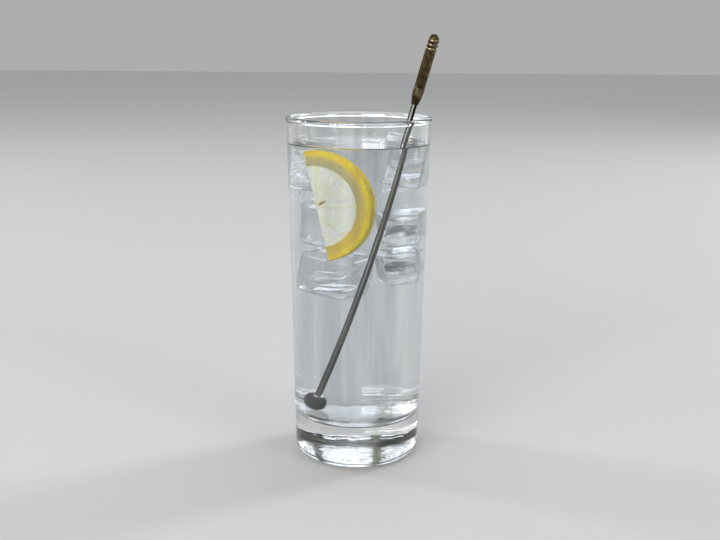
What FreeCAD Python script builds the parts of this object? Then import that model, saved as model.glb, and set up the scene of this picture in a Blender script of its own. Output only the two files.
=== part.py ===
"""A tall glass of gin and tonic over ice, with a half slice of lemon and a knurled metal stirrer.

Millimetres, +Z up. The origin is the centre of the ring that the glass stands on, level with the
table. +X is to the right and -Y is the front, where the lemon faces.
"""
import FreeCAD, Part
import math
import os

from FreeCAD import Placement, Rotation, Vector

# Glass: a straight-sided, slightly flaring tumbler with a thick base and a fire-polished rim.
GLASS_HEIGHT = 156.0
FOOT_RADIUS = 28.6          # outer wall carried down to the table
MOUTH_RADIUS = 32.1         # outer wall carried up to the rim
WALL_AT_FOOT = 2.7
WALL_AT_MOUTH = 2.2
RIM_BEAD = 1.3              # radius of the rounded rim
RIM_NECK = 0.6              # blend under the bead, where it runs into the outer wall
HEEL_ROUND = 5.6
FLOOR_EDGE = 18.7           # height of the inside floor where it meets the wall
FLOOR_RISE = 1.9            # the inside floor swells by this much at its centre
CORNER_ROUND = 3.8          # between the inside floor and the wall
PUNT_RADIUS = 19.5          # hollow under the base, inside the ring that bears on the table
PUNT_RISE = 1.0

# Drink.
LEVEL_BELOW_RIM = 11.9
MENISCUS_RISE = 1.1
MENISCUS_WIDTH = 2.0

# Stirrer: a ball end and a knurled grip pressed on a plain rod, leaning on the rim.
ROD_RADIUS = 1.22
BALL_RADIUS = 4.2
BALL_INSET = 8.3            # from the flat of the floor's edge in to the ball's centre
BALL_BEARING = 170.7        # degrees from +X, where the ball stands
RIM_BEARING = -41.7         # degrees from +X, where the rod crosses the rim
REST_GAP = 0.08             # film of drink between the ball and the floor, and at the rim
STAND_OUT = 38.5            # length above the rim
SETTLING_STEPS = 8          # rounds in which the lean is worked out
ROD_SEAT_IN_BALL = 2.6
ROD_SEAT_IN_GRIP = 5.5
NECK_LENGTH = 6.4
NECK_LIP = 0.25             # the neck's end is this much thicker than the rod
NECK_SWELL = 0.2            # the neck's side bows out by this much
GRIP_RADIUS = 2.35
COLLAR_LENGTH = 1.0
COLLAR_STEP = 0.08          # the plain bands stand this far proud of the knurling
KNURL_LENGTH = 15.6
KNURL_DEPTH = 0.3
KNURL_PEAKS = 14            # round the grip
BEAD_COUNT = 3              # turned beads between the knurling and the cap
BEAD_PITCH = 1.75
BEAD_DEPTH = 0.35
CAP_LENGTH = 1.9

# Lemon: half of a slice cut across the fruit, seen nearly face on.
LEMON_RADIUS = 24.3
LEMON_THICKNESS = 5.0
LEMON_PEEL_ROUND = 0.7
FLESH_RADIUS = 17.6
FLESH_DEPTH = 0.4           # the cut flesh sits this far below the pith
FLESH_CORNER = 1.6
MEMBRANE = 0.7
MEMBRANE_ANGLES = (-90.0, -60.0, -9.0, 41.0, 75.0, 90.0)
LEMON_COVER = 1.1           # drink above the slice
LEMON_WALL_GAP = 1.3        # from the slice's outer end to the wall
LEMON_SHIFT = 1.2           # the slice lies this far off the middle of its chord
LEMON_BEARING = 25.4        # the slice is turned by this much about the upright
LEMON_ROLL = 13.6           # and by this much in its own plane

# Ice: the two blocks that break the surface.
ICE_HEIGHT = 23.0
ICE_WALL_GAP = 0.9
ICE_LEMON_GAP = 5.6
LEFT_DEPTH = 16.0
LEFT_INNER_END = -3.2       # from the axis, along the slice
LEFT_ABOVE = 2.4            # above the level of the drink
LEFT_TAPERS = (1.7, 4.8, 2.4, 3.4)      # left, right, front and back draw in by these towards the top
LEFT_ROUND = 3.4
RIGHT_DEPTH = 16.5
RIGHT_INNER_END = 11.2
RIGHT_ABOVE = 2.9           # at its outer, lower end
RIGHT_TAPERS = (0.8, 1.2, 0.8, 1.6)
RIGHT_ROUND = 1.6
RIGHT_LEAN = 13.0           # degrees, top towards the wall

UP = Vector(0, 0, 1)
rim_height = GLASS_HEIGHT - RIM_BEAD
level = GLASS_HEIGHT - LEVEL_BELOW_RIM
outer_flare = (MOUTH_RADIUS - FOOT_RADIUS) / GLASS_HEIGHT
inner_flare = outer_flare + (WALL_AT_FOOT - WALL_AT_MOUTH) / GLASS_HEIGHT


def outer_radius(z):
    """Outside of the wall at height z."""
    return FOOT_RADIUS + outer_flare * z


def inner_radius(z):
    """Inside of the wall at height z."""
    return FOOT_RADIUS - WALL_AT_FOOT + inner_flare * z


def dome_radius(edge, rise):
    """Radius of the sphere whose cap has this edge radius and rise."""
    return (edge ** 2 + rise ** 2) / (2 * rise)


def dome_height(r, edge, rise):
    """Height at radius r of a spherical dome that falls to nothing at its edge."""
    sphere = dome_radius(edge, rise)
    return rise - sphere + math.sqrt(sphere ** 2 - r ** 2)


def floor_height(r):
    """Height of the inside floor at radius r."""
    return FLOOR_EDGE + dome_height(r, inner_radius(FLOOR_EDGE), FLOOR_RISE)


def turned(start, *steps):
    """Solid turned about Z. Points are (r, z). A step is an end point, or (through, end) for an arc."""
    edges = []
    first = Vector(start[0], 0, start[1])
    here = first
    for step in steps:
        if isinstance(step[0], tuple):
            through, end = (Vector(r, 0, z) for r, z in step)
            edges.append(Part.Arc(here, through, end).toShape())
        else:
            end = Vector(step[0], 0, step[1])
            edges.append(Part.LineSegment(here, end).toShape())
        here = end
    edges.append(Part.LineSegment(here, first).toShape())
    return Part.Face(Part.Wire(edges)).revolve(Vector(0, 0, 0), UP, 360)


def on_line_from(pole, distance, base, flare, upper):
    """The point (r, z) with r = base + flare z at this distance from the pole, upper or lower of two."""
    a = 1 + flare ** 2
    b = flare * (base - pole[0]) - pole[1]
    c = (base - pole[0]) ** 2 + pole[1] ** 2 - distance ** 2
    root = math.sqrt(b ** 2 - a * c)
    z = (-b + (root if upper else -root)) / a
    return base + flare * z, z


def rounding(centre, radius, toward_first, toward_last):
    """Steps for an arc about a centre, from its touch with one neighbour to its touch with the next."""
    def touch(direction):
        length = math.hypot(*direction)
        return centre[0] + radius * direction[0] / length, centre[1] + radius * direction[1] / length

    first = touch(toward_first)
    last = touch(toward_last)
    middle = touch((first[0] + last[0] - 2 * centre[0], first[1] + last[1] - 2 * centre[1]))
    return first, (middle, last)


def floor_steps():
    """Outline of the hollow from the foot of its wall, round the corner and over the floor to the axis."""
    sphere = dome_radius(inner_radius(FLOOR_EDGE), FLOOR_RISE)
    pole = (0, floor_height(0) - sphere)
    inset = inner_radius(0) - CORNER_ROUND * math.hypot(1, inner_flare)
    centre = on_line_from(pole, sphere + CORNER_ROUND, inset, inner_flare, True)
    corner = rounding(centre, CORNER_ROUND, (1, -inner_flare), (pole[0] - centre[0], pole[1] - centre[1]))
    half_way = corner[1][1][0] / 2
    return *corner, ((half_way, floor_height(half_way)), (0, floor_height(0)))


def glass():
    """The tumbler: punt, bearing ring, heel, flaring wall, rim bead, and hollow with a swelling floor."""
    heel_centre = (outer_radius(HEEL_ROUND) - HEEL_ROUND * math.hypot(1, outer_flare), HEEL_ROUND)
    heel = rounding(heel_centre, HEEL_ROUND, (0, -1), (1, -outer_flare))

    bead = (inner_radius(rim_height) + RIM_BEAD, rim_height)
    outset = outer_radius(0) + RIM_NECK * math.hypot(1, outer_flare)
    neck_centre = on_line_from(bead, RIM_BEAD + RIM_NECK, outset, outer_flare, False)
    neck = rounding(
        neck_centre, RIM_NECK, (-1, outer_flare), (bead[0] - neck_centre[0], bead[1] - neck_centre[1]))

    slant = RIM_BEAD * math.sqrt(0.5)
    punt_half = PUNT_RADIUS / 2
    return turned(
        (0, PUNT_RISE),
        ((punt_half, dome_height(punt_half, PUNT_RADIUS, PUNT_RISE)), (PUNT_RADIUS, 0)),
        *heel,
        *neck,
        ((bead[0] + RIM_BEAD, rim_height), (bead[0], GLASS_HEIGHT)),
        ((bead[0] - slant, rim_height + slant), (bead[0] - RIM_BEAD, rim_height)),
        *floor_steps(),
    )


def drink(sunk):
    """The liquid, which fills the hollow up to its level and a meniscus, cut round what stands in it."""
    wall = inner_radius(level)
    curve = (MENISCUS_WIDTH ** 2 + MENISCUS_RISE ** 2) / (2 * MENISCUS_RISE)
    half_way = MENISCUS_WIDTH / 2
    part_rise = curve - math.sqrt(curve ** 2 - half_way ** 2)
    body = turned(
        (0, level),
        (wall - MENISCUS_WIDTH, level),
        ((wall - MENISCUS_WIDTH + half_way, level + part_rise),
         (inner_radius(level + MENISCUS_RISE), level + MENISCUS_RISE)),
        *floor_steps(),
    )
    return body.cut(sunk)


def stirrer_placement():
    """Where the stirrer stands: the ball's centre, the direction of its axis, and its length to the rim."""
    reach = inner_radius(FLOOR_EDGE) - CORNER_ROUND - BALL_INSET
    slope = math.asin(reach * 2 * FLOOR_RISE / (inner_radius(FLOOR_EDGE) ** 2 + FLOOR_RISE ** 2))
    ball_height = floor_height(reach) + (BALL_RADIUS + REST_GAP) / math.cos(slope)
    ball_turn = math.radians(BALL_BEARING)
    ball = Vector(reach * math.cos(ball_turn), reach * math.sin(ball_turn), ball_height)

    rim_turn = math.radians(RIM_BEARING)
    outward = Vector(math.cos(rim_turn), math.sin(rim_turn), 0)
    bead = inner_radius(rim_height) + RIM_BEAD
    lean = 0.0
    for _ in range(SETTLING_STEPS):      # the lean and the point of contact settle together
        crossing = bead - (RIM_BEAD + ROD_RADIUS + REST_GAP) / math.cos(lean)
        along = outward * crossing + UP * rim_height - ball
        lean = math.atan2(along.dot(outward), along.z)
    to_rim = along.Length
    return ball, along / to_rim, to_rim


def placed_on_axis(shape, ball, direction):
    """Moves a shape modelled along Z, with the ball's centre at the origin, onto the stirrer's axis."""
    shape = shape.copy()
    shape.Placement = Placement(ball, Rotation(UP, direction))
    return shape


def knurled_sleeve(low, high):
    """Diamond knurling: rings of points that are peak and valley by turns, joined as four-sided studs."""
    columns = 2 * KNURL_PEAKS
    step = 2 * math.pi * GRIP_RADIUS / columns
    rows = 2 * round((high - low) / step / 2)

    def point(row, column):
        radius = GRIP_RADIUS - (KNURL_DEPTH if (row + column) % 2 else 0)
        turn = 2 * math.pi * (column % columns) / columns
        return Vector(radius * math.cos(turn), radius * math.sin(turn), low + (high - low) * row / rows)

    def face(*points):
        return Part.Face(Part.makePolygon([*points, points[0]]))

    faces = []
    for row in range(rows):
        for column in range(columns):
            lower_side = [point(row, column), point(row, column + 1)]
            upper_side = [point(row + 1, column + 1), point(row + 1, column)]
            corners = lower_side + upper_side
            if (row + column) % 2 == 0:      # the fold runs from valley to valley
                corners = corners[1:] + corners[:1]
            faces.append(face(corners[0], corners[1], corners[2]))
            faces.append(face(corners[0], corners[2], corners[3]))
    for row in (0, rows):
        faces.append(face(*(point(row, column) for column in range(columns))))
    return Part.Solid(Part.makeShell(faces))


def grip(rod_end):
    """The grip along Z, its neck over the rod's end: neck, collar, knurling, beads and cap."""
    low = rod_end - ROD_SEAT_IN_GRIP
    collar = low + NECK_LENGTH
    sleeve = collar + COLLAR_LENGTH
    beads = sleeve + KNURL_LENGTH
    cap = beads + BEAD_COUNT * BEAD_PITCH
    band = GRIP_RADIUS + COLLAR_STEP
    lip = ROD_RADIUS + NECK_LIP
    foot = turned(
        (0, low),
        (lip, low),
        (((band + lip) / 2 + NECK_SWELL, (low + collar) / 2), (band, collar)),
        (band, sleeve),
        (0, sleeve),
    )
    foot = foot.cut(Part.makeCylinder(ROD_RADIUS, ROD_SEAT_IN_GRIP, Vector(0, 0, low)))

    head_steps = [(band - BEAD_DEPTH, beads)]
    for bead in range(BEAD_COUNT):
        middle = beads + (bead + 0.5) * BEAD_PITCH
        top = beads + (bead + 1) * BEAD_PITCH
        head_steps.append(((band, middle), (band - BEAD_DEPTH, top)))
    shoulder = band - BEAD_DEPTH
    half_out = shoulder / 2
    head_steps.append(
        ((half_out, cap + dome_height(half_out, shoulder, CAP_LENGTH)), (0, cap + CAP_LENGTH)))
    head = turned((0, beads), *head_steps)
    return foot.fuse([knurled_sleeve(sleeve, beads), head]).removeSplitter()


def stirrer():
    """The rod, the ball and the grip, in place."""
    ball, direction, to_rim = stirrer_placement()
    grip_length = NECK_LENGTH + COLLAR_LENGTH + KNURL_LENGTH + BEAD_COUNT * BEAD_PITCH + CAP_LENGTH
    rod_start = BALL_RADIUS - ROD_SEAT_IN_BALL
    rod_end = to_rim + STAND_OUT - grip_length + ROD_SEAT_IN_GRIP
    rod = Part.makeCylinder(ROD_RADIUS, rod_end - rod_start, Vector(0, 0, rod_start))
    knob = Part.makeSphere(BALL_RADIUS).cut(rod)
    pieces = {"stirrer_rod": rod, "stirrer_ball": knob, "stirrer_grip": grip(rod_end)}
    return {name: placed_on_axis(shape, ball, direction) for name, shape in pieces.items()}


def segment(low_angle, high_angle):
    """One segment's recess: a wedge between two membranes, rounded where it meets the pith."""
    def ray(angle, side):
        turn = math.radians(angle)
        return Vector(math.cos(turn), math.sin(turn), 0), Vector(-math.sin(turn), math.cos(turn), 0) * side

    along_low, inset_low = ray(low_angle, MEMBRANE / 2)
    along_high, inset_high = ray(high_angle, -MEMBRANE / 2)
    half_angle = math.radians(high_angle - low_angle) / 2
    middle = math.radians((low_angle + high_angle) / 2)
    apex = Vector(math.cos(middle), math.sin(middle), 0) * (MEMBRANE / 2 / math.sin(half_angle))
    far = 2 * FLESH_RADIUS
    wedge = Part.Face(Part.makePolygon([
        apex, inset_low + along_low * far, inset_high + along_high * far, apex]))
    disc = Part.Face(Part.Wire(Part.makeCircle(FLESH_RADIUS - MEMBRANE / 2)))
    tool = wedge.common(disc).extrude(UP * FLESH_DEPTH)
    upright = 0.9
    outer = [
        edge for edge in tool.Edges
        if abs(edge.tangentAt(edge.FirstParameter).z) > upright
        and edge.CenterOfMass.Length > FLESH_RADIUS / 2
    ]
    return tool.makeFillet(min(FLESH_CORNER, FLESH_RADIUS * math.sin(half_angle) / 2), outer)


def rings(solid, radius, height):
    """The circular edges about Z with this radius and height."""
    near = 0.01
    return [
        edge for edge in solid.Edges
        if not edge.Degenerated and isinstance(edge.Curve, Part.Circle)
        and abs(edge.Curve.Radius - radius) < near
        and abs(edge.Curve.Center.z - height) < near
    ]


def lemon_slice(placement):
    """Half a slice: rounded peel, flat cut, and the segments sunk a little below pith and membranes."""
    slab = Part.makeCylinder(LEMON_RADIUS, LEMON_THICKNESS, Vector(0, 0, -LEMON_THICKNESS))
    peel_edges = rings(slab, LEMON_RADIUS, 0) + rings(slab, LEMON_RADIUS, -LEMON_THICKNESS)
    slab = slab.makeFillet(LEMON_PEEL_ROUND, peel_edges)
    behind_cut = Vector(-LEMON_RADIUS, -LEMON_RADIUS, -LEMON_THICKNESS)
    other_half = Part.makeBox(LEMON_RADIUS, 2 * LEMON_RADIUS, LEMON_THICKNESS, behind_cut)
    slab = slab.cut(other_half)
    recesses = []
    for low_angle, high_angle in zip(MEMBRANE_ANGLES, MEMBRANE_ANGLES[1:]):
        recess = segment(low_angle, high_angle)
        recesses.append(recess.translated(Vector(0, 0, -FLESH_DEPTH)))
        recesses.append(recess.translated(Vector(0, 0, -LEMON_THICKNESS)))
    slab = slab.cut(recesses)
    slab.Placement = placement
    return slab


def lemon_frame():
    """Placement of the slice (X away from its cut, Z out of its front face) and its front face's distance."""
    bearing = math.radians(LEMON_BEARING)
    roll = math.radians(LEMON_ROLL)
    across = Vector(math.cos(bearing), -math.sin(bearing), 0)
    outward = Vector(-math.sin(bearing), -math.cos(bearing), 0)
    away = across * math.cos(roll) + UP * math.sin(roll)
    along_cut = outward.cross(away)
    right = LEMON_RADIUS * math.cos(roll)
    left = LEMON_RADIUS * math.sin(roll)
    hub_height = level - LEMON_COVER - LEMON_RADIUS
    reach = (right + left) / 2 + LEMON_SHIFT
    face = math.sqrt((inner_radius(hub_height) - LEMON_WALL_GAP) ** 2 - reach ** 2)
    hub = across * (reach - right) + outward * face + UP * hub_height
    return Placement(hub, Rotation(away, along_cut, outward, "XYZ")), face


def melted_block(left, right, front, back, low, high, tapers, rounding):
    """A melted ice block: a rectangle drawn in by four tapers (left, right, front, back) towards its top."""
    def rectangle(z, insets):
        x = (left + insets[0], right - insets[1])
        y = (front + insets[2], back - insets[3])
        corners = [Vector(x[0], y[0], z), Vector(x[1], y[0], z), Vector(x[1], y[1], z), Vector(x[0], y[1], z)]
        return Part.makePolygon([*corners, corners[0]])

    block = Part.makeLoft([rectangle(low, (0, 0, 0, 0)), rectangle(high, tapers)], True, True)
    return block.makeFillet(rounding, block.Edges)


def half_chord(z, offset):
    """How far the ice can reach sideways at height z, at this distance from the axis."""
    return math.sqrt((inner_radius(z) - ICE_WALL_GAP) ** 2 - offset ** 2)


def ice_left(lemon_face):
    """The block behind the lemon, whose melted top is just clear of the surface."""
    front = ICE_LEMON_GAP + LEMON_THICKNESS - lemon_face
    back = front + LEFT_DEPTH
    low = level + LEFT_ABOVE - ICE_HEIGHT
    left = -half_chord(low, max(abs(front), abs(back)))
    block = melted_block(left, LEFT_INNER_END, front, back, low, low + ICE_HEIGHT, LEFT_TAPERS, LEFT_ROUND)
    block.rotate(Vector(0, 0, 0), UP, -LEMON_BEARING)
    return block


def ice_right():
    """The block by the wall, which stands higher and leans."""
    front = -RIGHT_DEPTH / 2
    high = level + RIGHT_ABOVE
    outer_end = half_chord(high - ICE_HEIGHT, front)
    block = melted_block(
        RIGHT_INNER_END, outer_end, front, -front, high - ICE_HEIGHT, high, RIGHT_TAPERS, RIGHT_ROUND)
    block.rotate(Vector(outer_end, 0, level), Vector(0, 1, 0), RIGHT_LEAN)
    return block


def build():
    """Every piece of the served drink, by name."""
    lemon_placement, lemon_face = lemon_frame()
    pieces = stirrer()
    pieces["lemon_slice"] = lemon_slice(lemon_placement)
    pieces["ice_left"] = ice_left(lemon_face)
    pieces["ice_right"] = ice_right()
    pieces["drink"] = drink([shape for name, shape in pieces.items() if name != "stirrer_grip"])
    pieces["glass"] = glass()
    return pieces


os.makedirs("parts", exist_ok=True)
for name, shape in build().items():
    shape.exportStep(os.path.join("parts", name + ".step"))
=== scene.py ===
import math
import random

import bmesh
import bpy
import numpy as np
from mathutils import Matrix, Vector, noise
from mathutils.bvhtree import BVHTree


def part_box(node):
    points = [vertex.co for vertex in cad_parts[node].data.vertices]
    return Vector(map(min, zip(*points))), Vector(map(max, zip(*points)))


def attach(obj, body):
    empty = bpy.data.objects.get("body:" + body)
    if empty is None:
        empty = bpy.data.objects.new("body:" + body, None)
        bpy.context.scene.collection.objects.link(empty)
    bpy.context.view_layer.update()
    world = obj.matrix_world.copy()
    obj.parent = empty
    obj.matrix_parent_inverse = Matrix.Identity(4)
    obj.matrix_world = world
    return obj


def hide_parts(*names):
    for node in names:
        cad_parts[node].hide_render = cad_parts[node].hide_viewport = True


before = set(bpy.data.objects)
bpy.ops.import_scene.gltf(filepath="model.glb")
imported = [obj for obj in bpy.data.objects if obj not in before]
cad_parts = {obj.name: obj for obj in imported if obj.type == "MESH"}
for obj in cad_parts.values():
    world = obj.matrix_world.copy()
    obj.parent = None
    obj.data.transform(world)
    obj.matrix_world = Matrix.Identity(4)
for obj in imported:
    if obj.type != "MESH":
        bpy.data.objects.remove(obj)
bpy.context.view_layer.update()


# ---------------------------------------------------------------------------------------------
# The glass is one piece of clear soda glass, blown thin in the wall over a thick pressed base.
# Its rim is fire-polished. The wall has faint upright waves from the mould, the base
# has broader waves, and its underside is rippled. The wall's colour has upright grey streaks of
# painted shade between clearer ones. The turned solid itself is shown.

MM = 0.001


class Wire:
    """One socket of a tree's nodes. Sums on it add the Math nodes that work them out."""

    def __init__(self, socket):
        self.socket = socket

    def into(self, slot):
        self.socket.id_data.links.new(self.socket, slot)

    def math(self, operation, other=None, swapped=False):
        node = self.socket.id_data.nodes.new("ShaderNodeMath")
        node.operation = operation
        terms = (other, self) if swapped else (self, other)
        for slot, term in zip(node.inputs, terms):
            if isinstance(term, Wire):
                term.into(slot)
            elif term is not None:
                slot.default_value = term
        return Wire(node.outputs[0])

    def __add__(self, other):
        return self.math("ADD", other)

    def __radd__(self, other):
        return self.math("ADD", other)

    def __sub__(self, other):
        return self.math("SUBTRACT", other)

    def __rsub__(self, other):
        return self.math("SUBTRACT", other, swapped=True)

    def __mul__(self, other):
        return self.math("MULTIPLY", other)

    def __rmul__(self, other):
        return self.math("MULTIPLY", other)

    def __pow__(self, other):
        return self.math("POWER", other)


class Nodes:
    """The nodes of a material or of the surround, and the one way in which they are made."""

    def __init__(self, tree):
        self.tree = tree
        tree.nodes.clear()

    def node(self, kind, settings=None, sockets=None, output=0):
        """A node of this kind: its settings first, then the values or links of its sockets."""
        made = self.tree.nodes.new("ShaderNode" + kind)
        for key, value in (settings or {}).items():
            setattr(made, key, value)
        for key, value in (sockets or {}).items():
            if isinstance(value, Wire):
                value.into(made.inputs[key])
            else:
                made.inputs[key].default_value = value
        return Wire(made.outputs[output]) if made.outputs else made

    def place(self):
        """The point on the piece, in metres, in the piece's own frame."""
        return self.node("TexCoord", output="Object")

    def parts(self, vector):
        """The three numbers of a vector."""
        split = self.node("SeparateXYZ", sockets={"Vector": vector}).socket.node
        return [Wire(socket) for socket in split.outputs]

    def stretched(self, vector, scale):
        """The place times this much along each axis, so that what is below 1 is drawn out."""
        return self.node("VectorMath", {"operation": "MULTIPLY"}, {0: vector, 1: scale})

    def cloud(self, vector, size, detail=2.0, roughness=0.5):
        """Soft noise from 0 to 1, whose lumps are about this large, in metres."""
        sockets = {"Vector": vector, "Scale": 1 / size, "Detail": detail, "Roughness": roughness}
        return self.node("TexNoise", sockets=sockets, output="Fac")

    def step(self, value, low, high):
        """Rises smoothly from 0 at low to 1 at high."""
        sockets = {"Value": value, "From Min": low, "From Max": high}
        return self.node("MapRange", {"interpolation_type": "SMOOTHSTEP"}, sockets)

    def dot(self, vector, way):
        """How far a vector reaches along a fixed one."""
        return self.node("VectorMath", {"operation": "DOT_PRODUCT"}, {0: vector, 1: way}, "Value")

    def mix(self, share, first, second):
        """A colour between two, each a tuple or a link."""
        pair = [colour if isinstance(colour, Wire) else (*colour, 1) for colour in (first, second)]
        return self.node("Mix", {"data_type": "RGBA"}, {0: share, 6: pair[0], 7: pair[1]}, output=2)


class Finish(Nodes):
    """A material with one Principled surface. Its constants are given by their sockets' names."""

    def __init__(self, name, **constants):
        self.material = bpy.data.materials.new(name)
        self.material.use_nodes = True
        super().__init__(self.material.node_tree)
        named = {socket.replace("_", " "): value for socket, value in constants.items()}
        shader = self.node("BsdfPrincipled", sockets=named)
        self.surface = shader.socket.node
        self.output = self.node("OutputMaterial", sockets={"Surface": shader})

    def feed(self, **links):
        for socket, wire in links.items():
            wire.into(self.surface.inputs[socket.replace("_", " ")])

    def relief(self, height, depth):
        """Raises the surface by this depth, in metres, where the height is 1."""
        self.feed(Normal=self.node("Bump", sockets={"Height": height, "Distance": depth, "Strength": 1.0}))

    def put_on(self, piece):
        piece.data.materials.clear()
        piece.data.materials.append(self.material)

    def put_on_node(self, name):
        """Gives a solid of the frame this finish."""
        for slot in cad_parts[name].material_slots:
            slot.material = self.material


BASE_THICKNESS = 20.6 * MM
RIPPLES_BELOW = 1.3 * MM            # the underside's ripples are full up to here and gone at twice this
WAVE_DEPTH = 0.5 * MM

clear_glass = Finish("clear_glass_polished", Roughness=0.0, IOR=1.5, Transmission_Weight=1.0)
spot = clear_glass.place()
height_above_table = clear_glass.parts(spot)[2]
in_base = 1 - clear_glass.step(height_above_table, BASE_THICKNESS, 1.5 * BASE_THICKNESS)
underside = 1 - clear_glass.step(height_above_table, RIPPLES_BELOW, 2 * RIPPLES_BELOW)
mould_waves = clear_glass.cloud(clear_glass.stretched(spot, (1, 1, 0.06)), 7 * MM, detail=1.0)
base_waves = clear_glass.cloud(clear_glass.stretched(spot, (1, 1, 0.8)), 6.5 * MM, detail=1.5)
ripples = clear_glass.cloud(clear_glass.stretched(spot, (0.7, 2.0, 1)), 4.5 * MM, detail=3.0)
waves = mould_waves * 0.08 + base_waves * in_base * 0.5 + ripples * underside * 1.4
clear_glass.relief(waves, WAVE_DEPTH)
# Painted shade: upright grey streaks in the glass's colour stand for the dark streaks it refracts.
painted_streaks = clear_glass.cloud(clear_glass.stretched(spot, (1, 1, 0.05)), 7 * MM, detail=3.0)
fine_painted_streaks = clear_glass.cloud(clear_glass.stretched(spot, (1, 1, 0.04)), 2.6 * MM, detail=1.0)
clear = clear_glass.step(painted_streaks + 0.35 * (fine_painted_streaks - 0.5), 0.36, 0.64)
clear_glass.feed(Base_Color=clear_glass.mix(clear, (0.84, 0.86, 0.87), (1.0, 1.0, 1.0)))
clear_glass.put_on_node("glass")


# ---------------------------------------------------------------------------------------------
# Two blocks of ice break the surface. Each is a clear machine-made block, melted round at its
# corners, with shallow dents in its sides and faint clouds of frost. Its colour holds painted
# light, white on faces that lie level, and painted shade, grey in patches between the frost.
# Each is a denser copy of the block in the frame.

ICE_IOR = 1.31
OVERLAP = 0.15 * MM         # how far one clear thing reaches into the next, so that no air shows


def new_piece(name, points, faces, sharp_above=None):
    """A mesh piece, smooth all over or except at edges sharper than an angle in degrees."""
    mesh = bpy.data.meshes.new(name)
    mesh.from_pydata([tuple(point) for point in points], [], [tuple(face) for face in faces])
    mesh.validate()
    mesh.shade_smooth()
    if sharp_above is not None:
        mesh.set_sharp_from_angle(angle=math.radians(sharp_above))
    piece = bpy.data.objects.new(name, mesh)
    bpy.context.collection.objects.link(piece)
    return piece


def applied(piece):
    """Makes what the piece's modifiers give its own mesh."""
    shown = piece.evaluated_get(bpy.context.evaluated_depsgraph_get())
    made = bpy.data.meshes.new_from_object(shown)
    piece.modifiers.clear()
    piece.data = made
    made.name = piece.name
    made.shade_smooth()


def points_of(mesh):
    points = np.empty(3 * len(mesh.vertices))
    mesh.vertices.foreach_get("co", points)
    return points.reshape(-1, 3)


def normals_of(mesh):
    normals = np.empty(3 * len(mesh.vertices))
    mesh.vertex_normals.foreach_get("vector", normals)
    return normals.reshape(-1, 3)


def faces_of(mesh):
    return [list(face.vertices) for face in mesh.polygons]


def melted(piece, seed, dents, depth):
    """Sinks soft dents of about this size and depth into a piece, other ones for another seed."""
    points = points_of(piece.data)
    normals = normals_of(piece.data)
    shift = Vector((seed, 2.3 * seed, 3.7 * seed))
    for index, (point, normal) in enumerate(zip(points, normals)):
        spot = Vector(point) / dents + shift
        sink = 0.5 + 0.5 * noise.noise(spot) + 0.2 * noise.noise(3 * spot)
        points[index] = point - normal * depth * max(sink, 0)
    piece.data.vertices.foreach_set("co", points.ravel())
    piece.data.update()


def copy_of_node(name, node, voxel):
    """A dense, even mesh of the same shape as a node of the frame."""
    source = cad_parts[node]
    piece = bpy.data.objects.new(name, source.data.copy())
    bpy.context.collection.objects.link(piece)
    remesh = piece.modifiers.new("even", "REMESH")
    remesh.mode = "VOXEL"
    remesh.voxel_size = voxel
    smooth = piece.modifiers.new("soft", "SMOOTH")
    smooth.factor = 0.5
    smooth.iterations = 6
    applied(piece)
    return piece


clear_ice = Finish("ice_clear", IOR=ICE_IOR, Transmission_Weight=0.88)
spot = clear_ice.place()
# Frost and painted shade: where this is high the ice is white frost; where it is low, painted grey.
frost_and_painted_shade = clear_ice.step(clear_ice.cloud(spot, 9 * MM, detail=3.0), 0.40, 0.66)
normal = clear_ice.node("NewGeometry", output="Normal")
# Painted light: faces that lie level are painted white.
painted_top_light = clear_ice.step(clear_ice.parts(normal)[2], 0.2, 0.8)
painted_light_and_frost = painted_top_light + (1 - painted_top_light) * frost_and_painted_shade * 0.8       # painted light: what lies level is painted white, for the bright light it mirrors
clear_ice.feed(Base_Color=clear_ice.mix(painted_light_and_frost, (0.84, 0.86, 0.88), (0.99, 0.995, 1.0)))
clear_ice.feed(Roughness=0.08 + 0.10 * frost_and_painted_shade)
clear_ice.relief(clear_ice.cloud(spot, 4 * MM), 0.06 * MM)

floating = []
for side, seed in (("left", 4.0), ("right", 9.0)):
    block = copy_of_node("ice_floating_" + side, "ice_" + side, 0.55 * MM)
    melted(block, seed, dents=9 * MM, depth=0.7 * MM)
    clear_ice.put_on(block)
    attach(block, "root")
    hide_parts("ice_" + side)
    floating.append(block)


# ---------------------------------------------------------------------------------------------
# Four more blocks of the same ice are held down under the others, two on each side. They stand
# behind the stirrer and the lemon, and clear of each other. Each is a cube whose faces are divided,
# rounded and dented.

def piece_from(made, name):
    """A smooth mesh piece from what was made in bmesh."""
    mesh = bpy.data.meshes.new(name)
    made.to_mesh(mesh)
    made.free()
    mesh.shade_smooth()
    piece = bpy.data.objects.new(name, mesh)
    bpy.context.collection.objects.link(piece)
    return piece


def ice_block(name, middle, size, turn, rounding, seed):
    """A block of ice with soft corners."""
    made = bmesh.new()
    bmesh.ops.create_cube(made, size=2)
    bmesh.ops.subdivide_edges(made, edges=made.edges, cuts=30, use_grid_fill=True)
    half = Vector(size) / 2
    inner = half - Vector((rounding, rounding, rounding))
    for vertex in made.verts:
        full = vertex.co * half
        core = Vector([max(min(along, most), -most) for along, most in zip(full, inner)])
        out = full - core
        if out.length > 0:
            full = core + out.normalized() * rounding
        vertex.co = full * MM
    block = piece_from(made, name)
    melted(block, seed, dents=10 * MM, depth=1.1 * MM)
    place = Matrix.Translation(Vector(middle) * MM)
    for angle, axis in zip(turn, "XYZ"):
        place = place @ Matrix.Rotation(math.radians(angle), 4, axis)
    block.data.transform(place)
    return block


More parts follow.
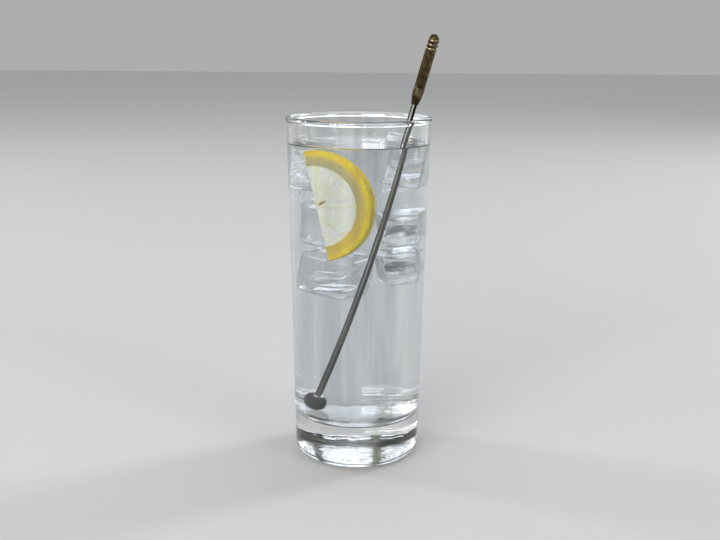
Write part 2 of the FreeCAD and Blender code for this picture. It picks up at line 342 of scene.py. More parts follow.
# Each block: its middle and size in mm, its turn about each axis in degrees, how round its corners
# are in mm, and the seed of its dents.
SUNK_ICE = (
    ("ice_sunk_left", (-9.0, 3.0, 109.5), (19.0, 19.0, 21.5), (2, 2, -22), 3.2, 1.7),
    ("ice_sunk_right", (14.0, 4.0, 107.0), (15.5, 21.0, 15.0), (4, -4, 8), 2.6, 5.1),
    ("ice_sunk_low_left", (-7.4, 6.5, 85.5), (20.6, 20.0, 21.0), (6, 8, -30), 3.6, 7.3),
    ("ice_sunk_low_right", (13.4, 5.0, 89.2), (14.0, 20.0, 15.5), (3, -6, 14), 3.0, 8.9),
)
sunk = []
for row in SUNK_ICE:
    block = ice_block(*row)
    clear_ice.put_on(block)
    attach(block, "root")
    sunk.append(block)
ice = floating + sunk


# ---------------------------------------------------------------------------------------------
# The drink is gin and tonic water, clear and a little blue-grey in its depth. It climbs a little up
# the wall, the ice and the rod. It reaches just into the glass and is hollow round each block of
# ice, which reaches just into it. Gas bubbles, which are hollows too, cling to the wall, the ice
# and the lemon.

WALL_AT_TABLE = 25.9 * MM           # inside of the wall, carried down to the table
WALL_FLARE = 0.025641               # how far the wall leans out for each step up
LEVEL = 144.1 * MM
FLOOR_EDGE = 18.7 * MM              # height of the glass's floor where it would meet the wall
FLOOR_RISE = 1.9 * MM               # how far the floor is domed
CORNER = 3.8 * MM                   # rounding between floor and wall
CLIMB = 0.7 * MM                    # height of the meniscus
CLIMB_REACH = 1.6 * MM              # how far out from the wall or a thing it ends
AROUND = 192                        # points round the glass
DOME_STEPS, CORNER_STEPS, WALL_STEPS = 24, 12, 40
TOP_RINGS = 72                      # rings of points on the drink's top


def inner_radius(z):
    return WALL_AT_TABLE + WALL_FLARE * z


def drink_outline():
    """Points (r, z) from the middle of the floor to the wet edge on the wall, just inside the glass.

    The corner's centre lies on a line CORNER inside the wall, and CORNER outside the dome's sphere.
    """
    edge = inner_radius(FLOOR_EDGE)
    sphere = (edge ** 2 + FLOOR_RISE ** 2) / (2 * FLOOR_RISE)
    sphere_z = FLOOR_EDGE + FLOOR_RISE - sphere
    lean = math.hypot(1, WALL_FLARE)
    inset = WALL_AT_TABLE - CORNER * lean
    a = 1 + WALL_FLARE ** 2
    b = WALL_FLARE * inset - sphere_z
    c = inset ** 2 + sphere_z ** 2 - (sphere + CORNER) ** 2
    centre_z = (-b + math.sqrt(b ** 2 - a * c)) / a
    centre_r = inset + WALL_FLARE * centre_z
    dome_end = math.atan2(centre_r, centre_z - sphere_z)
    first = math.atan2(sphere_z - centre_z, -centre_r)
    last = math.atan2(-WALL_FLARE, 1)
    outline = []
    radius = sphere - OVERLAP
    for step in range(DOME_STEPS):
        angle = dome_end * step / DOME_STEPS
        outline.append((radius * math.sin(angle), sphere_z + radius * math.cos(angle)))
    radius = CORNER + OVERLAP
    for step in range(CORNER_STEPS + 1):
        angle = first + (last - first) * step / CORNER_STEPS
        outline.append((centre_r + radius * math.cos(angle), centre_z + radius * math.sin(angle)))
    low = outline[-1][1]
    for step in range(1, WALL_STEPS + 1):
        z = low + (LEVEL + CLIMB - low) * step / WALL_STEPS
        outline.append((inner_radius(z) + OVERLAP * lean, z))
    return outline


def lathe(outline, around):
    """Points and faces of an outline turned about Z. Its first point lies on the axis."""
    points = [(0, 0, outline[0][1])]
    faces = []
    for r, z in outline[1:]:
        for step in range(around):
            turn = 2 * math.pi * step / around
            points.append((r * math.cos(turn), r * math.sin(turn), z))
    for step in range(around):
        beside = (step + 1) % around
        faces.append((0, 1 + beside, 1 + step))
        for ring in range(len(outline) - 2):
            low = 1 + ring * around
            high = low + around
            faces.append((low + step, low + beside, high + beside, high + step))
    return points, faces


def climb(point, trees):
    """How far the drink stands above its level at a point: more near the wall, the ice and the rod."""
    wall = max(inner_radius(LEVEL) - math.hypot(point[0], point[1]), 0)
    rise = CLIMB * max(1 - wall / CLIMB_REACH, 0) ** 3
    for tree in trees:
        near = tree.find_nearest(Vector((point[0], point[1], LEVEL)))[3]
        rise = max(rise, CLIMB * max(1 - near / CLIMB_REACH, 0) ** 2)
    return rise


def tree_of(mesh):
    return BVHTree.FromPolygons([tuple(point) for point in points_of(mesh)], faces_of(mesh))


points, faces = lathe(drink_outline(), AROUND)
wet_trees = [tree_of(block.data) for block in floating]
wet_trees.append(tree_of(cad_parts["stirrer_rod"].data))
last = len(points) - AROUND
for ring in range(1, TOP_RINGS):
    r = inner_radius(LEVEL + CLIMB) * (1 - ring / TOP_RINGS)
    start = len(points)
    for step in range(AROUND):
        turn = 2 * math.pi * step / AROUND
        flat = (r * math.cos(turn), r * math.sin(turn))
        points.append((*flat, LEVEL + climb(flat, wet_trees)))
    for step in range(AROUND):
        beside = (step + 1) % AROUND
        faces.append((last + step, last + beside, start + beside, start + step))
    last = start
middle = len(points)
points.append((0, 0, LEVEL))
for step in range(AROUND):
    faces.append((last + step, last + (step + 1) % AROUND, middle))
drink = new_piece("drink_tonic", points, faces)


def shrunk(mesh, by):
    """Points of a mesh drawn in along its normals."""
    return points_of(mesh) - normals_of(mesh) * by


for block in floating:
    hollow = new_piece("hollow", shrunk(block.data, OVERLAP), faces_of(block.data))
    cut = drink.modifiers.new("cut", "BOOLEAN")
    cut.object = hollow
    cut.operation = "DIFFERENCE"
    cut.solver = "EXACT"
    applied(drink)
    bpy.data.objects.remove(hollow)

shells = [(points_of(drink.data), faces_of(drink.data))]
for block in sunk:
    shells.append((shrunk(block.data, OVERLAP), [face[::-1] for face in faces_of(block.data)]))

keep_clear = [tree_of(block.data) for block in ice]
for name in ("stirrer_rod", "stirrer_ball", "lemon_slice"):
    keep_clear.append(tree_of(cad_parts[name].data))

TO_WALL = 0.15 * MM                 # from a bubble on the wall to the wall
TO_THING = 0.30 * MM                # from a bubble on the ice or the lemon to what it clings to
LEAST_TO_WALL = 0.10 * MM           # no bubble comes nearer than this to the wall
LEAST_TO_THING = 0.25 * MM          # or this to a thing
LOWEST = 26 * MM                    # or stands lower than this
UNDER_LEVEL = 1.5 * MM              # or nearer than this to the drink's level
TRIES_ON_WALL = 260
TRIES_ON_THING = 60


def bubble(middle, radius):
    """Points and faces of a small round hollow in the drink, turned inside out."""
    made = bmesh.new()
    bmesh.ops.create_icosphere(made, subdivisions=2, radius=radius)
    made.verts.index_update()
    spots = np.array([vertex.co + Vector(middle) for vertex in made.verts])
    sides = [[vertex.index for vertex in reversed(face.verts)] for face in made.faces]
    made.free()
    return spots, sides


def is_free(middle, radius):
    """True if a bubble here is in the drink and touches nothing."""
    spot = Vector(middle)
    if math.hypot(spot.x, spot.y) + radius + LEAST_TO_WALL > inner_radius(spot.z):
        return False
    if not LOWEST < spot.z < LEVEL - UNDER_LEVEL:
        return False
    for tree in keep_clear:
        touch, normal, _, distance = tree.find_nearest(spot)
        if distance < radius + LEAST_TO_THING or (spot - touch).dot(normal) < 0:
            return False
    return True


draw = random.Random(11)
for _ in range(TRIES_ON_WALL):
    radius = draw.uniform(0.12, 0.38) * MM
    turn = draw.uniform(0, 2 * math.pi)
    z = draw.uniform(80, 142) * MM
    r = inner_radius(z) - radius - TO_WALL
    spot = (r * math.cos(turn), r * math.sin(turn), z)
    if draw.random() < 0.5 and is_free(spot, radius):
        shells.append(bubble(spot, radius))
for thing in ice + [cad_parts["lemon_slice"]]:
    skin = points_of(thing.data)
    out = normals_of(thing.data)
    for _ in range(TRIES_ON_THING):
        pick = draw.randrange(len(skin))
        radius = draw.uniform(0.12, 0.34) * MM
        spot = skin[pick] + out[pick] * (radius + TO_THING)
        if is_free(spot, radius):
            shells.append(bubble(spot, radius))


def gathered(shells):
    """Points and faces of several shells as those of one mesh."""
    points, faces = [], []
    count = 0
    for spots, sides in shells:
        points.append(spots)
        faces += [[count + corner for corner in side] for side in sides]
        count += len(spots)
    return np.concatenate(points), faces


bpy.data.objects.remove(drink)
drink = new_piece("drink_tonic", *gathered(shells), sharp_above=38)

tonic = Finish(
    "tonic_water", Base_Color=(1, 1, 1, 1), Roughness=0.0, IOR=1.333, Transmission_Weight=1.0)
haze = tonic.node("VolumeAbsorption", sockets={"Color": (0.40, 0.49, 0.56, 1), "Density": 6.0})
haze.into(tonic.output.inputs["Volume"])
tonic.put_on(drink)
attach(drink, "root")
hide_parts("drink")


# ---------------------------------------------------------------------------------------------
# The ice has cracked a little as it met the drink. Each crack is a thin, wavy hollow of air, which
# shines white or dark as it mirrors the room. Each becomes part of its block.

CRACK_THICKNESS = 0.2               # this and the two below in mm
CRACK_IN_ICE = 0.35                 # least distance from a crack to the outside of its block
WAVE_LENGTH = 6
ROUND_CRACK, CRACK_RINGS = 48, 11   # points round a crack, and rings from its middle to its edge


def crack(middle, half_width, half_depth, turn, tilts, swing, bend):
    """Points in mm and faces of a thin hollow, turned inside out. It tilts to the front."""
    around, rings = ROUND_CRACK, CRACK_RINGS
    place = Matrix.Translation(middle) @ Matrix.Rotation(math.radians(swing), 4, "Y")
    turned = Matrix.Rotation(math.radians(turn), 4, "Z")
    at_back, at_front = (math.tan(math.radians(tilt)) for tilt in tilts)
    spots, faces = [], []

    def add_ring(share, layer):
        ring = []
        for step in range(around if share else 1):
            bearing = 2 * math.pi * step / around
            way = Vector((math.cos(bearing), math.sin(bearing), 0))
            reach = (abs(way.x / half_width) ** 3 + abs(way.y / half_depth) ** 3) ** (-1 / 3)
            reach *= 0.88 + 0.24 * noise.noise(way * 1.6 + middle)
            flat = turned @ (way * reach * share)
            wave = bend * noise.noise(flat / WAVE_LENGTH + middle)
            swell = layer * CRACK_THICKNESS / 2 * math.sqrt(1 - share ** 2)
            slope = (at_back + at_front) / 2 - (at_front - at_back) * flat.y / half_depth / 4
            ring.append(len(spots))
            spots.append(place @ (flat + Vector((0, 0, slope * flat.y + wave + swell))))
        return ring

    edge = add_ring(1, 0)
    for layer in (1, -1):
        row = [add_ring(ring / rings, layer) for ring in range(rings)] + [edge]
        for step in range(around):
            beside = (step + 1) % around
            strip = [(row[0][0], row[1][step], row[1][beside])]
            for inner, outer in zip(row[1:], row[2:]):
                strip.append((inner[step], outer[step], outer[beside], inner[beside]))
            faces += [face[::-layer] for face in strip]
    return spots, faces


# Each crack: its block, its place from the block's middle, half its width and depth, its turn
# about Z, its tilts to the front at its back and front, its swing to the side, and how far its
# waves rise.
CRACKS = (
    ("ice_floating_left", (0, 0, -5.0), 8.0, 8.0, 0, (3, 10), 2, 0.3),
    ("ice_floating_right", (0, 0, -1.0), 7.0, 7.0, 0, (8, 16), 3, 0.3),
    ("ice_floating_right", (0, 0, -7.0), 7.0, 7.0, 0, (4, 9), -2, 0.3),
    ("ice_sunk_left", (0, 0, 6.5), 8.2, 8.2, -22, (4, 9), 2, 0.3),
    ("ice_sunk_right", (0, -3.8, 4.2), 6.8, 5.2, 8, (4, 8), 2, 0.25),
    ("ice_sunk_right", (0, 0.3, -1.6), 6.9, 9.4, 8, (12.6, 14.8), -2, 0.14),
    ("ice_sunk_low_left", (-3, 0, -2.0), 6.0, 8.2, -30, (8, 17), -3, 0.3),
    ("ice_sunk_low_left", (0, 0, -7.0), 8.2, 7.8, -30, (4, 9), -6, 0.25),
    ("ice_sunk_low_right", (0, -3.6, 4.8), 6.2, 5.0, 14, (4, 8), -3, 0.25),
    ("ice_sunk_low_right", (0, 0, -1.2), 6.4, 9.0, 14, (12.6, 14.8), 2, 0.14),
)


def within(skin, spots):
    """True if points in mm are all inside a block of ice, clear of its outside."""
    for spot in spots:
        touch, normal, _, distance = skin.find_nearest(spot * MM)
        if distance < CRACK_IN_ICE * MM or (spot * MM - touch).dot(normal) > 0:
            return False
    return True


for block in ice:
    skin = tree_of(block.data)
    whole = points_of(block.data)
    middle_of_block = (Vector(whole.min(axis=0) / MM) + Vector(whole.max(axis=0) / MM)) / 2
    shells = [(whole, faces_of(block.data))]
    for name, offset, half_width, half_depth, *lie in CRACKS:
        if name != block.name:
            continue
        # A crack that comes too near its block's outside is made smaller, a little at a time.
        for smaller in range(12):
            size = (half_width * 0.94 ** smaller, half_depth * 0.94 ** smaller)
            spots, sides = crack(middle_of_block + Vector(offset), *size, *lie)
            if within(skin, spots):
                shells.append((np.array(spots) * MM, sides))
                break
    cracked = bpy.data.meshes.new(block.name + "_cracked")
    points, faces = gathered(shells)
    cracked.from_pydata(points.tolist(), [], faces)
    cracked.shade_smooth()
    cracked.materials.append(clear_ice.material)
    block.data = cracked


# ---------------------------------------------------------------------------------------------
# The lemon is half of a slice, cut across the fruit. Its peel is thin, glossy and pitted, over a
# thick pale pith. The segments, full of long juice sacs that point at the hub, lie a little
# lower than the pith and the thin skins between them.

# Its own frame has X away from the straight cut, Z out of the face that is seen, and its origin at
# the hub. Sizes here are in mm, and bearings in degrees.
LEMON_RADIUS = 24.3
LEMON_THICKNESS = 5.0
FLESH_RADIUS = 17.6
PEEL_ROUND = 0.8                    # rounding at the peel's edges
SEGMENT_ROUND = 3.6                 # rounding at the segments' corners
HALF_SKIN = 0.2
SEGMENT_DEPTH = 0.42                # how far the segments sink below the pith
SINKS_OVER = 0.9                    # how far in from a segment's edge it is that deep
LEMON_BEARING = 25.4                # how far the slice is turned from facing the front
LEMON_ROLL = 13.6                   # how far it leans over in its own plane
BELOW_LEVEL = 1.1                   # how far its top corner is under the drink's level
OFF_WALL = 1.3                      # from its face's edges to the wall
TO_SIDE = 1.2                       # how far it stands over to the side, with its middle at the front
# Where each skin between two segments starts, and its bearing.
SKINS = ((0, 0, 75), (0, 0, 41), (0, 0, -9), (0.5, -4.5, -47))
RINGS = 84
TURNS = 190
SACS_OUT = 0.34                     # juice sacs to a mm of radius
SACS_ROUND = 7.5                    # juice sacs to a radian round the hub
BEND_STEPS, PEEL_RINGS = 5, 6
CUT_DEPTHS = 8

bearing = math.radians(LEMON_BEARING)
roll = math.radians(LEMON_ROLL)
across = Vector((math.cos(bearing), -math.sin(bearing), 0))
outward = Vector((-math.sin(bearing), -math.cos(bearing), 0))
away = across * math.cos(roll) + Vector((0, 0, 1)) * math.sin(roll)
along_cut = outward.cross(away)
reach = LEMON_RADIUS * (math.cos(roll) + math.sin(roll)) / 2 + TO_SIDE
hub_height = LEVEL / MM - BELOW_LEVEL - LEMON_RADIUS
wall_at_hub = inner_radius(hub_height * MM) / MM
face_distance = math.sqrt((wall_at_hub - OFF_WALL) ** 2 - reach ** 2)
hub = across * (reach - LEMON_RADIUS * math.cos(roll)) + outward * face_distance
hub.z = hub_height
lemon_place = Matrix.Translation(hub * MM) @ Matrix((away, along_cut, outward)).transposed().to_4x4()


def skin_distance(x, y):
    """Distance in mm to the nearest skin between two segments."""
    turns = [(x - start_x, y - start_y, math.radians(bearing)) for start_x, start_y, bearing in SKINS]
    return min(abs(right * math.sin(turn) - up * math.cos(turn)) for right, up, turn in turns)


def rounded_least(a, b):
    """The smaller of two distances in mm, with a rounded corner where both are small."""
    return SEGMENT_ROUND - math.hypot(max(SEGMENT_ROUND - a, 0), max(SEGMENT_ROUND - b, 0))


def lemon_relief(x, y, side):
    """Height in mm of the cut face at a point, below the pith: sunk segments with swollen sacs."""
    r = math.hypot(x, y)
    turn = math.atan2(y, x)
    wander = 0.5 * noise.noise(Vector((x * 0.25, y * 0.25, side)))
    edge = rounded_least(FLESH_RADIUS + wander - r, skin_distance(x, y) - HALF_SKIN)
    if edge <= 0:
        return 0.06 * noise.noise(Vector((x, y, 3 * side)))
    sunk = min(edge / SINKS_OVER, 1)
    spot = Vector((r * SACS_OUT, turn * SACS_ROUND, side * 5))
    sacs = noise.voronoi(spot, distance_metric="DISTANCE")[0]
    swell = min(sacs[1] - sacs[0], 0.5)
    return SEGMENT_DEPTH * sunk * (swell - 1)


def lemon_points():
    """The profile of the slice at each angle: over the front, round the peel and over the back."""
    grid = []
    for turn_step in range(TURNS + 1):
        turn = math.radians(-90 + 180 * turn_step / TURNS)
        c, s = math.cos(turn), math.sin(turn)
        outer = LEMON_RADIUS - 0.25 + 0.18 * noise.noise(Vector((c * 2.5, s * 2.5, 7)))
        inner = outer - PEEL_ROUND
        row = []
        for ring in range(1, RINGS + 1):
            r = inner * ring / RINGS
            row.append((r * c, r * s, lemon_relief(r * c, r * s, 1)))
        for step in range(1, BEND_STEPS + 1):
            angle = math.radians(90 - 90 * step / BEND_STEPS)
            r = inner + PEEL_ROUND * math.cos(angle)
            row.append((r * c, r * s, PEEL_ROUND * (math.sin(angle) - 1)))
        for step in range(1, PEEL_RINGS + 1):
            z = -PEEL_ROUND - (LEMON_THICKNESS - 2 * PEEL_ROUND) * step / (PEEL_RINGS + 1)
            row.append((outer * c, outer * s, z))
        for step in range(BEND_STEPS + 1):
            angle = math.radians(-90 * step / BEND_STEPS)
            r = inner + PEEL_ROUND * math.cos(angle)
            row.append((r * c, r * s, -LEMON_THICKNESS + PEEL_ROUND * (math.sin(angle) + 1)))
        for ring in range(RINGS, 0, -1):
            r = inner * ring / RINGS
            row.append((r * c, r * s, -LEMON_THICKNESS - lemon_relief(r * c, r * s, 2)))
        grid.append(row)
    return grid


grid = lemon_points()
width = len(grid[0])
points = [point for row in grid for point in row]
faces = []
for turn_step in range(TURNS):
    for index in range(width - 1):
        corner = turn_step * width + index
        faces.append((corner, corner + width, corner + width + 1, corner + 1))
front_hub = len(points)
points.append((0, 0, 0))
back_hub = len(points)
points.append((0, 0, -LEMON_THICKNESS))
for turn_step in range(TURNS):
    corner = turn_step * width
    faces.append((front_hub, corner + width, corner))
    faces.append((back_hub, corner + width - 1, corner + 2 * width - 1))
# The straight cut: strips between the front's edge and the back's, from one end round to the other.
low_row = list(range(width))
high_row = [TURNS * width + index for index in range(width)]
half_row = width // 2
front_line = low_row[:half_row][::-1] + [front_hub] + high_row[:half_row]
back_line = low_row[-half_row:] + [back_hub] + high_row[-half_row:][::-1]
columns = []
for front_index, back_index in zip(front_line, back_line):
    front, back = Vector(points[front_index]), Vector(points[back_index])
    column = [front_index]
    for step in range(1, CUT_DEPTHS):
        spot = front.lerp(back, step / CUT_DEPTHS)
        dent = 0.22 + 0.2 * noise.noise(Vector((spot.y * 0.9, spot.z * 0.9, 4)))
        fade = min(step, CUT_DEPTHS - step) / (CUT_DEPTHS / 2)
        ends = min((LEMON_RADIUS - abs(spot.y)) / 2, 1)
        column.append(len(points))
        points.append((dent * fade * max(ends, 0), spot.y, spot.z))
    column.append(back_index)
    columns.append(column)
for first, second in zip(columns, columns[1:]):
    for step in range(CUT_DEPTHS):
        square = (first[step], first[step + 1], second[step + 1], second[step])
        if len(set(square)) == 4:
            faces.append(square)
points = [tuple(value * MM for value in point) for point in points]
lemon = new_piece("lemon_half_slice", points, faces, sharp_above=50)
# Both ends of the cut meet the peel there, and points that coincide are joined.
made = bmesh.new()
made.from_mesh(lemon.data)
bmesh.ops.remove_doubles(made, verts=made.verts, dist=0.001 * MM)
bmesh.ops.recalc_face_normals(made, faces=made.faces)
made.to_mesh(lemon.data)
made.free()
lemon.matrix_world = lemon_place

# The lemon is wet, and its gloss nearly vanishes in the drink, so its IOR is low.
fruit = Finish("lemon_fruit", IOR=1.1, Subsurface_Weight=0.12,
               Subsurface_Radius=(1.0, 0.85, 0.45), Subsurface_Scale=2.5 * MM)
spot = fruit.place()
in_mm = fruit.node("VectorMath", {"operation": "SCALE"}, {0: spot, "Scale": 1 / MM})
x, y, z = fruit.parts(in_mm)
radius = (x * x + y * y) ** 0.5
turn = y.math("ARCTAN2", x)
nearest = None
for start_x, start_y, bearing in SKINS:
    sine, cosine = math.sin(math.radians(bearing)), math.cos(math.radians(bearing))
    aside = ((x - start_x) * sine - (y - start_y) * cosine).math("ABSOLUTE")
    nearest = aside if nearest is None else nearest.math("MINIMUM", aside)
wander = fruit.cloud(spot, 4 * MM) - 0.5
to_pith = FLESH_RADIUS - radius + wander
short_of_pith = (SEGMENT_ROUND - to_pith).math("MAXIMUM", 0)
short_of_skin = (SEGMENT_ROUND + HALF_SKIN - nearest).math("MAXIMUM", 0)
edge = SEGMENT_ROUND - (short_of_pith * short_of_pith + short_of_skin * short_of_skin) ** 0.5
in_segment = fruit.step(edge, -0.15, 0.35)
inside = fruit.step(to_pith, -0.4, 0.4)
sac_place = fruit.node(
    "CombineXYZ", sockets={"X": radius * SACS_OUT, "Y": turn * SACS_ROUND, "Z": z * 0.15})
sacs = fruit.node("TexVoronoi", {"feature": "DISTANCE_TO_EDGE"},
                  {"Vector": sac_place, "Scale": 1.0}, "Distance")
sac_wall = 1 - fruit.step(sacs, 0.0, 0.16)
cloudy = fruit.step(fruit.cloud(spot, 5 * MM), 0.35, 0.7)
flesh = fruit.mix(cloudy, (0.93, 0.95, 0.74), (0.97, 0.99, 0.90))
flesh = fruit.mix(sac_wall * 0.5, flesh, (0.95, 0.95, 0.90))
skin = fruit.mix(fruit.cloud(spot, 3 * MM), (0.86, 0.86, 0.54), (0.92, 0.92, 0.66))
# The pith is painted darker and greyer at the upper end of the slice, as shade, and is yellower at the
# lower end and next to the peel.
low_end = fruit.step(y, 12.0, -18.0)
pith = fruit.mix(low_end, (0.46, 0.42, 0.20), (0.70, 0.46, 0.01))
pith = fruit.mix(fruit.step(radius, 17.5, 22.5) * 0.6, pith, (0.82, 0.62, 0.05))
pith = fruit.mix(fruit.cloud(spot, 2.5 * MM) * 0.2, pith, (0.90, 0.84, 0.42))
ripe = fruit.step(fruit.cloud(spot, 7 * MM), 0.40, 0.62)
peel = fruit.mix(ripe, (0.97, 0.67, 0.0), (0.97, 0.78, 0.0))
pores = fruit.node("TexVoronoi", {"feature": "F1"}, {"Vector": spot, "Scale": 1 / (1.1 * MM)}, "Distance")
pit = 1 - fruit.step(pores, 0.1, 0.45)
peel = fruit.mix(pit * 0.35, peel, (0.99, 0.90, 0.25))
on_peel = fruit.step(radius + wander, 21.0, 22.6)
colour = fruit.mix(in_segment, fruit.mix(inside, pith, skin), flesh)
colour = fruit.mix(on_peel, colour, peel)
fruit.feed(Base_Color=colour)
fruit.feed(Roughness=0.42 - 0.14 * on_peel - 0.1 * in_segment)
fruit.relief(on_peel * pit * -0.6 + in_segment * sac_wall * -0.35, 0.25 * MM)
fruit.put_on(lemon)
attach(lemon, "root")
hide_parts("lemon_slice")


# ---------------------------------------------------------------------------------------------
# A thin brown seed shows at the lemon's hub. It is a pointed drop, half sunk in the segment above
# the middle, and it lies along that segment.

def seed_mesh(start, end, thickness):
    """A pointed seed between two points in the slice's frame, in mm, blunter at its start."""
    along = Vector(end) - Vector(start)
    turned_to = along.to_track_quat("Z", "Y")
    made = bmesh.new()
    bmesh.ops.create_uvsphere(made, u_segments=20, v_segments=16, radius=1)
    for vertex in made.verts:
        share = 0.5 + 0.5 * vertex.co.z
        full = math.sin(math.pi * share) ** 0.9 * (1.15 - 0.4 * share)
        flat = math.hypot(vertex.co.x, vertex.co.y)
        if flat > 0:
            vertex.co.x *= full / flat * thickness / 2
            vertex.co.y *= full / flat * thickness / 2
        vertex.co.z = along.length * share
        vertex.co = (turned_to @ vertex.co + Vector(start)) * MM
    return made


seed = piece_from(seed_mesh((0.9, 0.3, -0.25), (5.0, 1.9, -0.3), 1.25), "lemon_seed")
seed.matrix_world = lemon_place
brown = Finish("seed_brown", Roughness=0.4)
streak = brown.cloud(brown.stretched(brown.place(), (0.3, 1, 1)), 0.6 * MM)
brown.feed(Base_Color=brown.mix(streak, (0.28, 0.20, 0.04), (0.44, 0.36, 0.11)))
brown.put_on(seed)
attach(seed, "root")


# ---------------------------------------------------------------------------------------------
# The stirrer is a steel rod with a dark, aged finish and a ball of the same metal pressed on its
# lower end. The rod has painted highlights, bright lines along two of its sides, and the ball a
# painted highlight on its top. The turned solids themselves are shown.

ROD_AXIS = tuple(Vector((0.2584, -0.1554, 0.9535)).normalized())       # from the ball to the grip
# The rod's painted highlight lines lie on the sides that face this way and the opposite way.
ROD_PAINTED_HIGHLIGHT_SIDE = (-0.36, -0.93, -0.05)
# The ball's painted highlight lies on the side that faces this way, near its top.
BALL_PAINTED_HIGHLIGHT_SIDE = (0.15, -0.45, 0.88)

dark_steel = Finish("stirrer_dark_steel", Metallic=1.0)
spot = dark_steel.place()
along = dark_steel.dot(spot, ROD_AXIS)
along_axis = dark_steel.node("VectorMath", {"operation": "SCALE"}, {0: ROD_AXIS, "Scale": along * 0.98})
drawn_out = dark_steel.node("VectorMath", {"operation": "SUBTRACT"}, {0: spot, 1: along_axis})
# Painted highlight: bright streaky lines along the rod where it faces that side.
facing_highlight_side = dark_steel.dot(dark_steel.node("NewGeometry", output="Normal"), ROD_PAINTED_HIGHLIGHT_SIDE)
painted_highlight_line = dark_steel.step(facing_highlight_side.math("ABSOLUTE"), 0.90, 0.985)
painted_streaks = painted_highlight_line * dark_steel.step(dark_steel.cloud(drawn_out, 1.3 * MM, detail=1.0), 0.2, 0.6)
age = dark_steel.cloud(spot, 9 * MM)
aged = dark_steel.step(age, 0.3, 0.7)
shade = dark_steel.mix(aged, (0.014, 0.014, 0.010), (0.050, 0.047, 0.036))
dark_steel.feed(Base_Color=dark_steel.mix(painted_streaks * 0.9, shade, (0.50, 0.50, 0.48)))
dark_steel.feed(Roughness=0.10 + 0.15 * age)
dark_steel.relief(dark_steel.cloud(drawn_out, 0.5 * MM), 0.004 * MM)
dark_steel.put_on_node("stirrer_rod")

black_steel = Finish("ball_black_steel", Metallic=1.0)
age = black_steel.cloud(black_steel.place(), 3 * MM)
# Painted highlight: where the ball faces that side, near its top, it is painted bright.
facing_highlight_side = black_steel.dot(black_steel.node("NewGeometry", output="Normal"), BALL_PAINTED_HIGHLIGHT_SIDE)
painted_highlight = black_steel.step(facing_highlight_side + 0.12 * age, 0.90, 1.02)
shade = black_steel.mix(age, (0.006, 0.007, 0.006), (0.028, 0.029, 0.027))
black_steel.feed(Base_Color=black_steel.mix(painted_highlight, shade, (0.75, 0.74, 0.70)))
black_steel.feed(Roughness=0.03 + 0.08 * age)
black_steel.put_on_node("stirrer_ball")


# ---------------------------------------------------------------------------------------------
# The grip is a bronze sleeve with a brown patina, cut with a diamond knurl. The patina stays in the
# cuts, and what stands out from the rod's axis, the knurl's points and the beads, is rubbed brighter.

CUTS_OUT_TO = 2.1 * MM              # from the rod's axis
POINTS_FROM = 2.36 * MM

ball_low, ball_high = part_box("stirrer_ball")
ball_middle = tuple((ball_low + ball_high) / 2)

bronze = Finish("grip_aged_bronze", Metallic=1.0)
spot = bronze.place()
from_ball = bronze.node("VectorMath", {"operation": "SUBTRACT"}, {0: spot, 1: ball_middle})
off_axis = bronze.node("VectorMath", {"operation": "CROSS_PRODUCT"}, {0: from_ball, 1: ROD_AXIS})
from_axis = bronze.node("VectorMath", {"operation": "LENGTH"}, {0: off_axis}, output="Value")
rubbed = bronze.step(from_axis, CUTS_OUT_TO, POINTS_FROM)
patchy = bronze.cloud(spot, 2.5 * MM, detail=3.0)
patina = bronze.mix(bronze.step(patchy, 0.3, 0.75), (0.022, 0.016, 0.007), (0.075, 0.054, 0.023))
bronze.feed(Base_Color=bronze.mix(rubbed * (0.55 * patchy), patina, (0.36, 0.30, 0.18)))
bronze.feed(Roughness=0.42 - 0.2 * rubbed)
bronze.put_on_node("stirrer_grip")


# ---------------------------------------------------------------------------------------------
# The studio: a plain pale floor, a soft overhead light and soft lights round the glass. Its
# surround is pale, with a dark ring high up and, at the back, a window of three panes in a dark
# frame, which the ice, the base and the level of the drink mirror. None of it is part of the object.

FLOOR = 6.0                         # half its side, in metres

corners = [(-FLOOR, -FLOOR, 0), (FLOOR, -FLOOR, 0), (FLOOR, FLOOR, 0), (-FLOOR, FLOOR, 0)]
floor = new_piece("studio_floor", corners, [(0, 1, 2, 3)])
floor.location.z = -0.05 * MM       # a hair below the glass, so that their faces don't coincide
paper = Finish("studio_paper", Base_Color=(0.40, 0.40, 0.395, 1), Roughness=0.9, Specular_IOR_Level=0.1)
paper.put_on(floor)

sun = bpy.data.lights.new("light_above", "SUN")
sun.energy = 0.45
sun.angle = math.radians(45)
above = bpy.data.objects.new("light_above", sun)
bpy.context.collection.objects.link(above)
above.rotation_euler = (math.radians(-20), math.radians(12), 0)

# Each soft light: where it stands and its width and height in metres, and how bright its face is.
SOFT_LIGHTS = (
    ("light_right", (1.45, 0.87, 0.95), 0.35, 1.2, 13.0),
    ("light_left_back", (-1.55, 0.63, 0.95), 0.25, 1.2, 12.0),
    ("light_right_front", (1.8, -1.55, 0.85), 0.7, 1.1, 8.5),
    ("light_left", (-1.8, -0.84, 0.90), 0.30, 1.1, 5.0),
    ("light_front", (-1.25, -2.45, 0.95), 2.2, 1.3, 12.0),
)
GLASS_MIDDLE = Vector((0, 0, 0.09))
for name, middle, width, height, strength in SOFT_LIGHTS:
    lamp = bpy.data.lights.new(name, "AREA")
    lamp.shape = "RECTANGLE"
    lamp.size = width
    lamp.size_y = height
    lamp.energy = strength * math.pi * width * height
    holder = bpy.data.objects.new(name, lamp)
    bpy.context.collection.objects.link(holder)
    holder.location = middle
    holder.rotation_euler = (GLASS_MIDDLE - Vector(middle)).to_track_quat("-Z", "Y").to_euler()
    holder.visible_camera = False

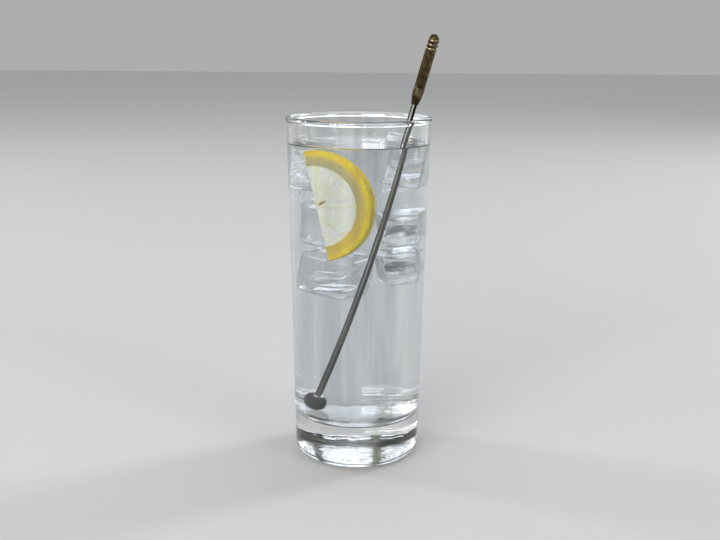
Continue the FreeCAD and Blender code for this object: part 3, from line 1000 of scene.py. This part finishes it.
# The surround goes by direction: how far to the right, to the back and up, each from -1 to 1.
WALLS = (0.42, 0.42, 0.415)
CEILING = (0.80, 0.81, 0.83)
DARK_RING = (0.05, 0.05, 0.05)
SKYLIGHT = (1.5, 1.5, 1.52)
FRAME_LEFT, FRAME_RIGHT = (0.15, 0.155, 0.06), (0.055, 0.058, 0.052)
PANE_FOOT, PANE_TOP = (0.70, 0.74, 0.79), (1.60, 1.70, 1.82)
PANES = ((-0.56, 0.30), (0.11, 0.26), (0.72, 0.25))       # each pane's middle and half its width

world = bpy.data.worlds.new("studio_surround")
bpy.context.scene.world = world
world.use_nodes = True
air = Nodes(world.node_tree)
sideways, back, rise = air.parts(air.node("TexCoord", output="Generated"))
shade = air.mix(air.step(rise, 0.12, 0.45), WALLS, CEILING)
shade = air.mix(air.step(rise, 0.64, 0.70), shade, DARK_RING)
shade = air.mix(air.step(rise, 0.90, 0.94), shade, SKYLIGHT)
behind = air.step(back, 0.42, 0.47)
in_pane = 0
for pane_middle, pane_half in PANES:
    off = (sideways - pane_middle).math("ABSOLUTE")
    in_pane = in_pane + (1 - air.step(off, pane_half - 0.03, pane_half + 0.01))
in_pane = in_pane * air.step(rise, 0.078, 0.086) * (1 - air.step(rise, 0.58, 0.62))
in_frame = behind * air.step(rise, 0.045, 0.055) * (1 - air.step(rise, 0.62, 0.66))
shade = air.mix(in_frame, shade, air.mix(air.step(sideways, 0.0, 0.1), FRAME_LEFT, FRAME_RIGHT))
pane = air.mix(air.step(rise, 0.09, 0.17), PANE_FOOT, PANE_TOP)
shade = air.mix(in_pane * behind, shade, pane)
sky = air.node("Background", sockets={"Color": shade, "Strength": 1.0})
air.node("OutputWorld", sockets={"Surface": sky})


# ---------------------------------------------------------------------------------------------
# The camera stands at arm's length in front of the glass, a little above its rim, and looks down
# at it. Light passes through many clear faces here, so its paths may be long.

CAMERA_PLACE = (0, -0.440, 0.1878)
LOOK_DOWN = math.radians(13.0)
CAMERA_ROLL = 0.0071
LIGHT_BOUNCES = 24

camera = bpy.data.objects.new("camera", bpy.data.cameras.new("camera"))
bpy.context.collection.objects.link(camera)
camera.data.sensor_width = 36
camera.data.lens = 49.25
camera.data.shift_x = 0.0031
camera.data.clip_start = 0.01
turn = Matrix.Rotation(math.pi / 2 - LOOK_DOWN, 4, "X") @ Matrix.Rotation(CAMERA_ROLL, 4, "Z")
camera.matrix_world = Matrix.Translation(CAMERA_PLACE) @ turn
bpy.context.scene.camera = camera
bpy.context.scene.view_settings.view_transform = "Standard"
bpy.context.scene.cycles.max_bounces = LIGHT_BOUNCES
bpy.context.scene.cycles.transmission_bounces = LIGHT_BOUNCES
